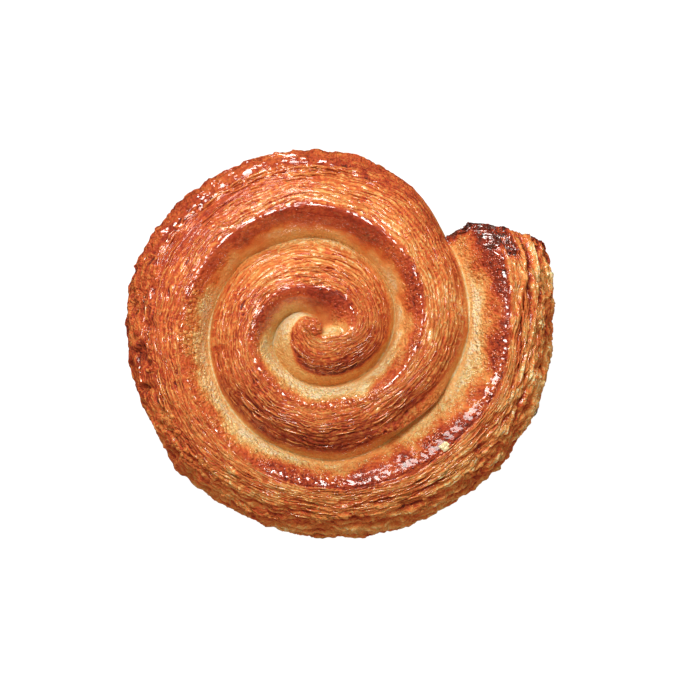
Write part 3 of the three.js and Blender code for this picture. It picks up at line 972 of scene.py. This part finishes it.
# %% [markdown]
# ## Painted shade, gloss and sugar
# Three more numbers go on each point. The first is painted shade: it darkens the colour of the
# floor round the heart, of the lower part of the first turn's flaky face and of the knob's foot,
# where these lie in shade. Gloss is where caramel lies as a clear glaze: on the sugared faces, the
# lip and the rim, with less of it at the lower right. Sugar is where fine crystals roughen that
# glaze. One shine for the whole crust would be simpler, but would look wet.

# %% Painted shade, gloss and sugar
DULL_STRETCH = 0.7
# Painted shade on the floor round the heart, the first turn's lower flaky face and the knob's foot.
heart_floor_shade = stretch(-6, 14, 100, 150) * is_sugared * (1 - rise(0.35, 0.65, across))
turn_foot_shade = stretch(200, 235, 312, 334) * is_leafy * rise(0.42, 0.66, share) * (1 - 0.8 * smooth_foot)
knob_foot_shade = stretch(-130, -100, -50, -20) * is_leafy * rise(0.6, 0.85, share) * (1 - smooth_foot)
buttery = np.maximum.reduce((heart_floor_shade, turn_foot_shade, knob_foot_shade)) * (1 - fold)

face_gloss = np.where(is_sugared, rise(0.0, 0.4, baked + 0.35 * sugar), 0.1)
front_rim = rim_share * bump(550, 26, angle)
rim_gloss = np.maximum(glazed * np.where(is_side, 1, 0.45), 0.5 * np.maximum(pit, front_rim))
gloss = np.maximum.reduce((face_gloss, rim_gloss, fold, 0.7 * scallop))
gloss = np.clip(gloss + 0.9 * lip, 0, 1) * blend(0.4, 1, rise(-20, 20, angle))
gloss = gloss * (1 - DULL_STRETCH * bump(676, 38, angle))
gloss = np.maximum(gloss * rise(0.05, 0.4, normals[:, 2]), burnt)
steep_glaze = glazed * (1 - 0.6 * normals[:, 2])
sugar = np.maximum.reduce((sugar, steep_glaze, fold, scallop)) * (1 - 0.6 * burnt)
leafiness = np.clip(2 * (edge + slit), 0, 1) * (1 - 0.5 * valley)
print("glossy share of the points:", (gloss > 0.5).mean().round(2))


# %% Body mesh
def build_piece(name, points, faces, facts):
    mesh = bpy.data.meshes.new(name)
    mesh.from_pydata((points * MM).tolist(), [], faces.tolist())
    mesh.polygons.foreach_set("use_smooth", np.ones(len(faces), dtype=bool))
    for fact, values in facts.items():
        kept = mesh.attributes.new(fact, "FLOAT", "POINT")
        kept.data.foreach_set("value", np.asarray(values, dtype=np.float32))
    piece = bpy.data.objects.new(name, mesh)
    bpy.context.collection.objects.link(piece)
    return piece


facts = {"baked": baked, "gloss": gloss, "leafiness": leafiness, "sugar": sugar, "along": length,
         "out": out, "buttery": buttery}
swirl = build_piece("wound_strip", shape, faces, facts)
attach(swirl, "root")
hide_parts(NODE)
print("triangles in the body:", len(faces))

# %% [markdown]
# ## Crust
# One material covers the whole pastry, as one dough does. Its colour runs along a ramp from pale
# dough to burnt sugar by the number on the mesh, with fine streaks along the leaves added. A clear
# coat gives caramel its shine, and a bump adds what is too small for the mesh: crumb, leaf edges
# and sugar crystals. The small class below lets shader sums be written as plain Python, so the
# recipe stays readable.

# %% A shader socket that can be used in sums
class Wire:
    """A shader socket that adds, multiplies and so on like a number."""

    tree = None

    def __init__(self, socket):
        self.socket = socket

    @classmethod
    def node(cls, kind, settings, inputs, output=0):
        node = cls.tree.nodes.new(kind)
        for name, value in settings.items():
            if name == "stops":
                cls.set_stops(node.color_ramp, value)
            else:
                setattr(node, name, value)
        for name, value in inputs.items():
            if isinstance(value, Wire):
                cls.tree.links.new(value.socket, node.inputs[name])
            else:
                node.inputs[name].default_value = value
        return cls(node.outputs[output])

    @staticmethod
    def set_stops(ramp, stops):
        while len(ramp.elements) < len(stops):
            ramp.elements.new(1.0)
        for element, (position, colour) in zip(ramp.elements, stops):
            element.position = position
            element.color = (*colour, 1)

    def sum(self, operation, first, second):
        return self.node("ShaderNodeMath", {"operation": operation}, {0: first, 1: second})

    def __add__(self, other):
        return self.sum("ADD", self, other)

    def __radd__(self, other):
        return self.sum("ADD", other, self)

    def __sub__(self, other):
        return self.sum("SUBTRACT", self, other)

    def __rsub__(self, other):
        return self.sum("SUBTRACT", other, self)

    def __mul__(self, other):
        return self.sum("MULTIPLY", self, other)

    def __rmul__(self, other):
        return self.sum("MULTIPLY", other, self)


print("shader sums: add, subtract and multiply")

# %% Patterns of the crust
crust = bpy.data.materials.new("crust")
crust.use_nodes = True
Wire.tree = crust.node_tree


def fact(name):
    return Wire.node("ShaderNodeAttribute", {"attribute_name": name}, {}, "Fac")


def noise_at(vector, scale, detail):
    return Wire.node("ShaderNodeTexNoise", {}, {"Vector": vector, "Scale": scale, "Detail": detail}, "Fac")


where = Wire.node("ShaderNodeTexCoord", {}, {}, "Object")
swayed = fact("out") + (noise_at(where, 380.0, 1.0) - 0.5) * 3.2


def along_leaves(length_mm, width_mm, detail):
    spot = {"X": fact("along") * (1 / length_mm), "Y": swayed * (1 / width_mm)}
    return noise_at(Wire.node("ShaderNodeCombineXYZ", {}, spot), 1.0, detail)


def veins(field, sharpness):
    """Thin lines where a noise field crosses its middle: long lens shapes, if the field is long."""
    away = Wire.node("ShaderNodeMath", {"operation": "ABSOLUTE"}, {0: field - 0.5})
    clamped = {"operation": "SUBTRACT", "use_clamp": True}
    return Wire.node("ShaderNodeMath", clamped, {0: 1.0, 1: away * sharpness})


def crystal_cells(scale):
    inputs = {"Vector": where, "Scale": scale, "Randomness": 1.0}
    return Wire.node("ShaderNodeTexVoronoi", {}, inputs, "Distance")


flaky = fact("leafiness")
shine = fact("gloss")
sugary = fact("sugar")
crumbly = (1 - flaky) * (1 - shine)
edges = veins(along_leaves(3.6, 1.1, 1.0), 12.0) + veins(along_leaves(2.4, 0.7, 1.0), 9.0) * 0.6
streaks = along_leaves(2.4, 0.42, 3.0)
pulled = along_leaves(0.7, 3.5, 2.0)
grain = noise_at(where, 2600.0, 2.0)
mottle = noise_at(where, 700.0, 3.0)
crumb = noise_at(where, 1300.0, 3.0)
crystals = crystal_cells(800.0)
fine_crystals = crystal_cells(1500.0)
print("pattern nodes:", len(crust.node_tree.nodes))

# %% Colour of the crust, from pale dough to burnt sugar
CRUST_STOPS = (
    (0.0, (0.97, 0.83, 0.52)),
    (0.1, (0.9, 0.61, 0.26)),
    (0.28, (0.83, 0.41, 0.13)),
    (0.46, (0.76, 0.25, 0.066)),
    (0.62, (0.64, 0.13, 0.037)),
    (0.775, (0.42, 0.055, 0.023)),
    (0.91, (0.18, 0.031, 0.018)),
    (1.0, (0.075, 0.027, 0.018)),
)
SHADE_DARKENS = 0.26
level = fact("baked") + (streaks - 0.5) * 0.22 + (mottle - 0.5) * 0.2 + (grain - 0.5) * 0.08
level = level + flaky * (0.12 - edges * 0.3)
level = level + sugary * ((crystals - 0.45) * 0.3 - (pulled - 0.5) * 0.3) - crumbly * (crumb - 0.5) * 0.5
colour = Wire.node("ShaderNodeValToRGB", {"stops": CRUST_STOPS}, {"Fac": level * 0.9 + 0.1}, "Color")
# Painted shade: the crust colour is darkened where the painted shade number is set.
shade_multiplier = 1 - fact("buttery") * SHADE_DARKENS
colour = Wire.node("ShaderNodeVectorMath", {"operation": "SCALE"}, {0: colour, "Scale": shade_multiplier}, "Vector")
print("colour stops:", len(CRUST_STOPS))

# %% Surface and gloss of the crust
BUMP_DEPTH = 0.5
FINISH = {"Coat Roughness": 0.11, "Coat IOR": 1.8, "Specular IOR Level": 0.16, "Subsurface Weight": 0.2,
          "Subsurface Scale": 1.0 * MM}
height = streaks * 0.25 + grain * 0.35 + mottle * 0.5 + crumbly * crumb * 2.4 + flaky * edges * 0.5
height = height + sugary * (pulled - crystals * crystals * 1.7 - fine_crystals * fine_crystals * 2.0)
relief_inputs = {"Strength": 0.9, "Distance": BUMP_DEPTH * MM, "Height": height}
clamped_sum = {"operation": "MULTIPLY_ADD", "use_clamp": True}
shader_inputs = {
    "Base Color": colour,
    "Roughness": 0.54 - shine * 0.16 + (grain - 0.5) * 0.2,
    "Coat Weight": Wire.node("ShaderNodeMath", clamped_sum, {0: flaky * edges, 1: 0.4, 2: shine}),
    "Normal": Wire.node("ShaderNodeBump", {}, relief_inputs, "Normal"),
}
shader = crust.node_tree.nodes["Principled BSDF"]
for name, wire in shader_inputs.items():
    crust.node_tree.links.new(wire.socket, shader.inputs[name])
for name, value in FINISH.items():
    shader.inputs[name].default_value = value
swirl.data.materials.append(crust)
print("crust nodes:", len(crust.node_tree.nodes))

# %% [markdown]
# ## Sugar grains, clumps and the tip
# Coarse sugar that did not quite melt stays as little domes, most of them on the upper part of
# the inner faces. At the left it stayed in clumps, and one large pale lump lies at the lower
# right. Each kind is laid as one mesh of low, lumpy balls, sunk to their middles, so
# they catch the light like the real grains. The strip's very tip is a cluster of larger lumps.

# %% Lumps from one ball
def ball(rings, sides):
    """A unit ball as points and triangles, closed at both poles."""
    tilt = np.linspace(0, math.pi, rings + 1)[1:-1, None]
    turn = np.linspace(0, 2 * math.pi, sides, endpoint=False)
    belt = (np.sin(tilt) * np.cos(turn), np.sin(tilt) * np.sin(turn), np.cos(tilt))
    belt = np.stack(np.broadcast_arrays(*belt), axis=-1)
    points = np.concatenate(([(0.0, 0.0, 1.0)], belt.reshape(-1, 3), [(0.0, 0.0, -1.0)]))
    last = len(points) - 1
    made = []
    for side in range(sides):
        after = (side + 1) % sides
        made.append((0, 1 + side, 1 + after))
        for ring in range(rings - 2):
            row, below = 1 + ring * sides, 1 + (ring + 1) * sides
            made.append((row + side, below + side, below + after))
            made.append((row + side, below + after, row + after))
        row = 1 + (rings - 2) * sides
        made.append((row + side, last, row + after))
    return points, np.array(made)


def lay_lumps(name, centres, ups, sizes, levels, model, facts, roughness=0.5):
    """One mesh of many lumps; each is turned to its surface, sized and dented by noise."""
    ball_points, ball_faces = model
    ups = ups / np.linalg.norm(ups, axis=1, keepdims=True)
    sideways = np.cross(ups, (0.31, 0.95, 0.02))
    sideways /= np.linalg.norm(sideways, axis=1, keepdims=True)
    third = np.cross(ups, sideways)
    axes = np.stack((sideways, third, ups), axis=1) * sizes[:, :, None]
    laid = np.einsum("pk,nkd->npd", ball_points, axes)
    noise_places = np.moveaxis(centres[:, None] * 3.1 + ball_points * 1.4, -1, 0)
    dents = 1 + roughness * (noise(200, *noise_places) - 0.5)
    laid = centres[:, None] + laid * dents[..., None]
    count = len(ball_points)
    laid_faces = (ball_faces + count * np.arange(len(centres))[:, None, None]).reshape(-1, 3)
    spread = {key: np.repeat(values, count) for key, values in facts.items()}
    spread["baked"] = np.repeat(levels, count)
    piece = build_piece(name, laid.reshape(-1, 3), laid_faces, spread)
    piece.data.materials.append(crust)
    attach(piece, "root")
    print(name, "lumps:", len(centres), "triangles:", len(laid_faces))
    return piece


print("triangles in a coarse and a fine ball:", len(ball(4, 7)[1]), len(ball(10, 16)[1]))

# %% Choosing places and sizes
LEAST_CHANCE = 0.05
chooser = np.random.default_rng(5)


def pick_places(chance, count):
    """Points of the mesh, picked more often where the chance is higher."""
    likely = np.flatnonzero(chance > LEAST_CHANCE)
    weight = chance[likely] ** 2
    return chooser.choice(likely, count, replace=False, p=weight / weight.sum())


def lump_sizes(count, widths, broad, high):
    """Half sizes of lumps: a width, and shares of it for the other two ways."""
    width = chooser.uniform(*widths, count)
    breadth = width * chooser.uniform(*broad, count)
    height = width * chooser.uniform(*high, count)
    return np.stack((width, breadth, height), axis=1)


def facts_at(picked, gloss, sugar):
    flat = np.zeros(len(picked))
    return {"gloss": flat + gloss, "leafiness": flat, "sugar": flat + sugar, "along": length[picked],
            "out": out[picked]}


print("points that can carry a grain:", int((on_face > LEAST_CHANCE).sum()))

# %% Sugar grains
GRAINS = 2600
GRAINY = ((-60, 0.0), (0, 0.2), (120, 0.2), (180, 0.7), (225, 1.0), (330, 1.0), (380, 0.5), (430, 0.15),
          (500, 0.15), (530, 0.9), (600, 1.0), (700, 1.0), (756, 0.8))
picked = pick_places(on_face * marked(GRAINY) * rise(0.3, 0.6, spots(42, 3.0)), GRAINS)
sizes = lump_sizes(GRAINS, (0.18, 0.46), (0.6, 1.2), (0.25, 0.5))
levels = np.clip(baked[picked] - chooser.uniform(0.0, 0.16, GRAINS), 0, 1)
lay_lumps("sugar_grains", shape[picked], normals[picked], sizes, levels, ball(4, 7), facts_at(picked, 1, 0.4))

# %% Clumps of coarse sugar, and one large pale lump
CLUMPS = 150
CLUMPY = ((515, 0.0), (535, 0.8), (560, 1.6), (600, 1.2), (620, 0.0))
LUMP_AT = np.array((35.0, -34.2))
LUMP_SPREAD = (0.45, 0.75)
LUMP_BITS = 14
LUMP_LEVEL = -0.1
clumpy = on_face * marked(CLUMPY) * rise(0.45, 0.65, spots(43, 4.0)) * (across < 0.92)
picked = pick_places(clumpy, CLUMPS)
for k, (x, y) in enumerate(LUMP_AT + chooser.normal(0, LUMP_SPREAD, (LUMP_BITS, 2))):
    picked[k] = np.argmin(np.hypot(points[:, 0] - x, points[:, 1] - y) + 99 * is_base)
sizes = lump_sizes(CLUMPS, (0.35, 0.75), (0.7, 1.3), (0.3, 0.5))
sizes[:LUMP_BITS] = sizes[:LUMP_BITS] * (1.1, 1.1, 1.6)
levels = np.clip(baked[picked] - chooser.uniform(0.05, 0.3, CLUMPS), 0, 1)
levels[:LUMP_BITS] = LUMP_LEVEL
clump_facts = facts_at(picked, 0.8, 0.1)
lay_lumps("sugar_clumps", shape[picked], normals[picked], sizes, levels, ball(7, 10), clump_facts, 0.9)

# %% The tip, a cluster of lumps
TIP_LUMPS = 46
CLUSTER_RADIUS = 2.3
CLUSTER_DOME = 2.6
CORE_SIZE = (2.5, 2.3, 1.7)
turn = chooser.uniform(0, 2 * math.pi, TIP_LUMPS)
reach = CLUSTER_RADIUS * np.sqrt(chooser.uniform(0, 1, TIP_LUMPS))
height = TIP_HEIGHT - 0.9 + 1.5 * np.sqrt(1 - (reach / CLUSTER_DOME) ** 2)
tip_centres = np.stack((LEAN[0] + reach * np.cos(turn), LEAN[1] + reach * np.sin(turn), height), axis=1)
tip_ups = np.stack((0.3 * np.cos(turn) * reach, 0.3 * np.sin(turn) * reach, np.ones(TIP_LUMPS)), axis=1)
width = chooser.uniform(0.45, 0.95, TIP_LUMPS)
sizes = np.stack((width, width * 0.8, width * chooser.uniform(0.5, 0.8, TIP_LUMPS)), axis=1)
flat = np.zeros(TIP_LUMPS)
tip_facts = {"gloss": flat + 0.6, "leafiness": flat, "sugar": flat + 0.5, "along": flat + 3, "out": turn}
levels = chooser.uniform(0.48, 0.62, TIP_LUMPS)
tip_centres[0] = (LEAN[0], LEAN[1], TIP_HEIGHT - 1.0)
sizes[0] = CORE_SIZE
lay_lumps("tip_lumps", tip_centres, tip_ups, sizes, levels, ball(10, 16), tip_facts)

# %% [markdown]
# ## Paper-thin leaves and crumbs
# The thinnest leaves stand clear of the face and end in an edge like paper, pale because it dried
# before it browned. Each one is a ribbon that follows the strip, low at both ends. Broken bits of
# such leaves lie as crumbs on the free side, most of them where the crust is dark and rough.

# %% A ribbon on the flaky face
FRAME_STEP = 0.02
ROOT_DEPTH = 0.35
ROOT_BROWN = np.array((0.3, 0.3, 0.0, 0.0))


def unit(vectors):
    return vectors / np.linalg.norm(vectors, axis=-1, keepdims=True)


def face_frame(a, v):
    """Points on the flaky face, with directions along the strip, outward over the face and up from it."""
    here = leaf_face(a, v)
    along = unit(leaf_face(a + 0.5, v) - here)
    ahead = np.minimum(v + FRAME_STEP, 1.0)
    outward = unit(leaf_face(a, ahead) - leaf_face(a, ahead - 2 * FRAME_STEP))
    return here, along, outward, unit(np.cross(outward, along))


def ribbon(a, v, height, lean, thickness, level, store):
    """A closed thin wall along the face: its foot is sunk, its edge leans outward."""
    here, along, outward, up = face_frame(a, v)
    rise_to = unit(up + outward * lean[:, None])
    foot = here - up * ROOT_DEPTH
    crown = here + rise_to * height[:, None]
    half = outward * thickness / 2
    rings = np.stack((foot - half, foot + half, crown + half * 0.5, crown - half * 0.5), axis=1)
    first = store["count"]
    number = first + np.arange(rings.shape[0] * 4).reshape(-1, 4)
    near, far = number[:-1], number[1:]
    for k in range(4):
        m = (k + 1) % 4
        store["faces"].append(np.stack((near[:, k], far[:, k], far[:, m]), axis=1))
        store["faces"].append(np.stack((near[:, k], far[:, m], near[:, m]), axis=1))
    first_end, last_end = number[0], number[-1]
    caps = [first_end[[0, 1, 2]], first_end[[0, 2, 3]], last_end[[0, 2, 1]], last_end[[0, 3, 2]]]
    store["faces"].append(np.array(caps))
    store["points"].append(rings.reshape(-1, 3))
    store["level"].append((level + ROOT_BROWN * np.ones((len(a), 1))).reshape(-1))
    store["along"].append(np.repeat(strip_length(a), 4))
    store["out"].append(np.repeat(LEAF_WIDTH * v, 4))
    store["count"] = first + rings.shape[0] * 4


print("up from the face near the tail:", face_frame(tail_mark, np.array(0.5))[3].round(2))

# %% Standing leaves
STANDING_LEAVES = 620
RIBBON_SECTIONS = 14
store = {"points": [], "faces": [], "level": [], "along": [], "out": [], "count": 0}
arch = np.sin(math.pi * np.linspace(0, 1, RIBBON_SECTIONS)) ** 0.7
for k in range(STANDING_LEAVES):
    start_angle = chooser.uniform(-150, STRIP_END - 25)
    at = np.array([start_angle])
    radius = float(crest_radius(at)[0]) + 7
    tail = float(rise(650, 720, start_angle))
    span = math.degrees(chooser.uniform(2.5, 7) * (1 + 0.8 * tail) / radius)
    a = np.linspace(start_angle, min(start_angle + span, STRIP_END - 4), RIBBON_SECTIONS)
    limit = float(leaf_foot(at)[0]) * 0.94
    v = chooser.uniform(0.06, 0.98) * limit + 0.02 * (2 * noise(700 + k, strip_length(a) / 2.0) - 1)
    height = blend(0.15, 0.5, chooser.uniform()) * (1 + 0.9 * tail) * arch + 0.05
    lean = chooser.uniform(-0.2, 0.9) + 0.8 * (noise(900 + k, strip_length(a) / 2.5) - 0.5)
    heart = 1 - float(rise(0, 90, start_angle))
    level = chooser.uniform(0.25, 0.5) + 0.12 * heart
    thickness = chooser.uniform(0.14, 0.24) * (1 - 0.4 * heart)
    ribbon(a, np.clip(v, 0.03, limit), height * (1 - 0.5 * heart), lean, thickness, level, store)
flat = np.zeros(store["count"])
joined = {name: np.concatenate(store[name]) for name in ("points", "faces", "level", "along", "out")}
leaf_facts = {"baked": joined["level"], "gloss": flat + 0.5, "leafiness": flat, "sugar": flat,
              "along": joined["along"], "out": joined["out"]}
standing = build_piece("standing_leaves", joined["points"], joined["faces"], leaf_facts)
standing.data.materials.append(crust)
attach(standing, "root")
print("standing leaves, triangles:", len(standing.data.polygons))

# %% Crumbs on the free side
CRUMBS = 300
CRUMB_PLACES = ((520, 0.0), (540, 0.6), (560, 1.0), (620, 0.8), (700, 0.5), (750, 0.3))
likely = np.flatnonzero((rim_share > 0.5) & (normals[:, 2] > 0.35))
weight = (marked(CRUMB_PLACES) * rise(0.4, 0.7, spots(81, 4.0)))[likely]
picked = chooser.choice(likely, CRUMBS, replace=False, p=weight / weight.sum())
sizes = lump_sizes(CRUMBS, (0.25, 0.8), (0.5, 1.0), (0.3, 0.7)) * (1.3, 1, 1)
levels = np.clip(baked[picked] - chooser.uniform(0.0, 0.3, CRUMBS), 0.35, 1)
lay_lumps("crumbs", shape[picked], normals[picked], sizes, levels, ball(5, 8), facts_at(picked, 0.1, 0), 1.3)

# %% [markdown]
# ## Light and floor
# The photograph has one large light from the top of the picture, a lower one that skims over the
# leaves, and a white ground that shows no shadow. A floor that glows white does the same, like a
# light table. The floor and the room are kept out of reflections, so that only the lamps make
# glints, and the glints stay as small as on real caramel.

# %% Floor
FLOOR_SIZE = 4000.0
FLOOR_LEVEL = -0.05
half = FLOOR_SIZE / 2
corners = np.array([(x * half, y * half, FLOOR_LEVEL) for x, y in ((-1, -1), (1, -1), (1, 1), (-1, 1))])
floor = build_piece("floor", corners, np.array([(0, 1, 2, 3)]), {})
pale = bpy.data.materials.new("pale_floor")
pale.use_nodes = True
pale_shader = pale.node_tree.nodes["Principled BSDF"]
pale_shader.inputs["Base Color"].default_value = (0.12, 0.12, 0.12, 1)
pale_shader.inputs["Roughness"].default_value = 0.9
pale_shader.inputs["Emission Color"].default_value = (1, 1, 1, 1)
pale_shader.inputs["Emission Strength"].default_value = 1.0
floor.data.materials.append(pale)
floor.visible_glossy = False
floor.visible_diffuse = False
print("floor width, mm:", FLOOR_SIZE)

# %% Lamps and room
LAMP_DISTANCE = 1100.0
LAMPS = {
    "key": {"elevation": 66, "width": 460.0, "power": 9.8, "side": -0.15},
    "low": {"elevation": 25, "width": 310.0, "power": 3.5, "side": -0.26},
}
LAMP_COLOUR = (1.0, 0.96, 0.91)
ROOM_COLOUR = (1.0, 0.77, 0.58, 1)
AMBIENT = 0.57

for name, lamp in LAMPS.items():
    light = bpy.data.lights.new(name, "AREA")
    light.shape = "DISK"
    light.size = lamp["width"] * MM
    light.energy = lamp["power"]
    light.color = LAMP_COLOUR
    lamp_stand = bpy.data.objects.new(name, light)
    bpy.context.collection.objects.link(lamp_stand)
    tilt = math.radians(lamp["elevation"])
    toward = Vector((lamp["side"], math.cos(tilt), math.sin(tilt))).normalized()
    lamp_stand.location = toward * LAMP_DISTANCE * MM
    lamp_stand.rotation_euler = toward.to_track_quat("Z", "Y").to_euler()

world = bpy.data.worlds.new("room")
bpy.context.scene.world = world
world.use_nodes = True
world.node_tree.nodes["Background"].inputs["Color"].default_value = ROOM_COLOUR
world.node_tree.nodes["Background"].inputs["Strength"].default_value = AMBIENT
world.cycles_visibility.glossy = False
bpy.context.scene.view_settings.view_transform = "Standard"
print("lamps:", list(LAMPS))
